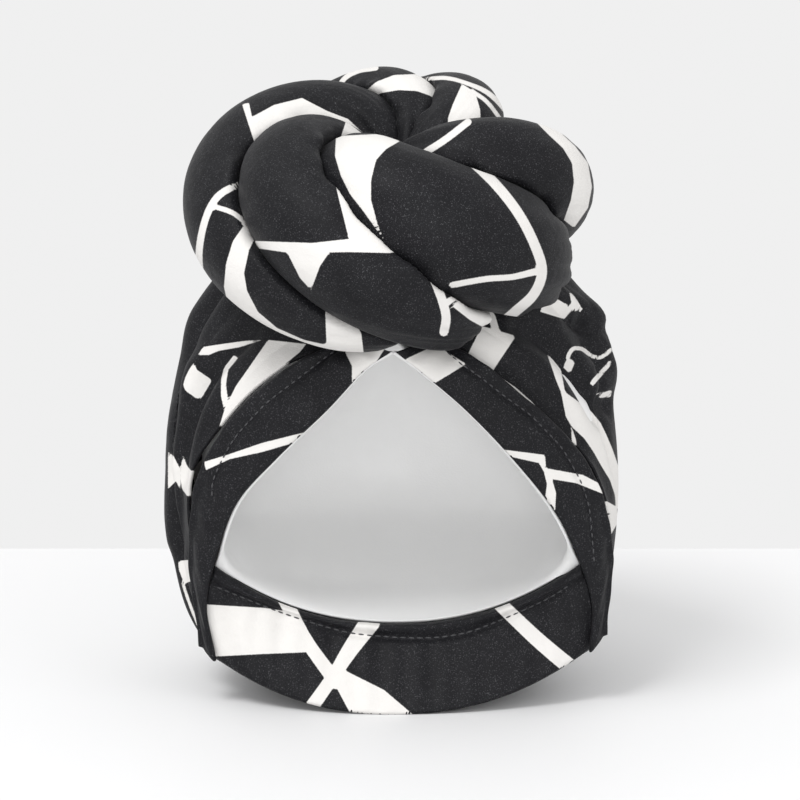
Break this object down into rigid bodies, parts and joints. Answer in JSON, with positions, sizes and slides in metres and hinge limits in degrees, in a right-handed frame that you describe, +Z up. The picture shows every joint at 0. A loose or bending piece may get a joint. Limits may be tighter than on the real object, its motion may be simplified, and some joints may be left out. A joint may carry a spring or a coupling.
{
  "type": "turban headwrap",
  "caption": "Ready-tied turban cap of printed cloth with a pointed front band, a satin lining and a knot of stuffed rolls on top.",
  "frame": {"origin": "middle of the footprint's box, on the surface that the cap stands on", "axes": "+Z up through the knot, +X to the right as seen from the front, -Y out of the opening"},
  "size_m": [0.1932, 0.1852, 0.2637],
  "materials": {
    "printed_cloth": "matte black jersey printed with irregular white stripes",
    "satin_lining": "soft white satin"
  },
  "bodies": {
    "root": {"crown": "printed_cloth", "lining_left": "satin_lining", "lining_right": "satin_lining", "front_band_left": "printed_cloth", "front_band_right": "printed_cloth", "nape_band": "printed_cloth", "knot_roll_1": "printed_cloth", "knot_roll_2": "printed_cloth", "knot_roll_3": "printed_cloth", "knot_roll_4": "printed_cloth", "knot_roll_5": "printed_cloth", "knot_roll_6": "printed_cloth"}
  },
  "joints": []
}
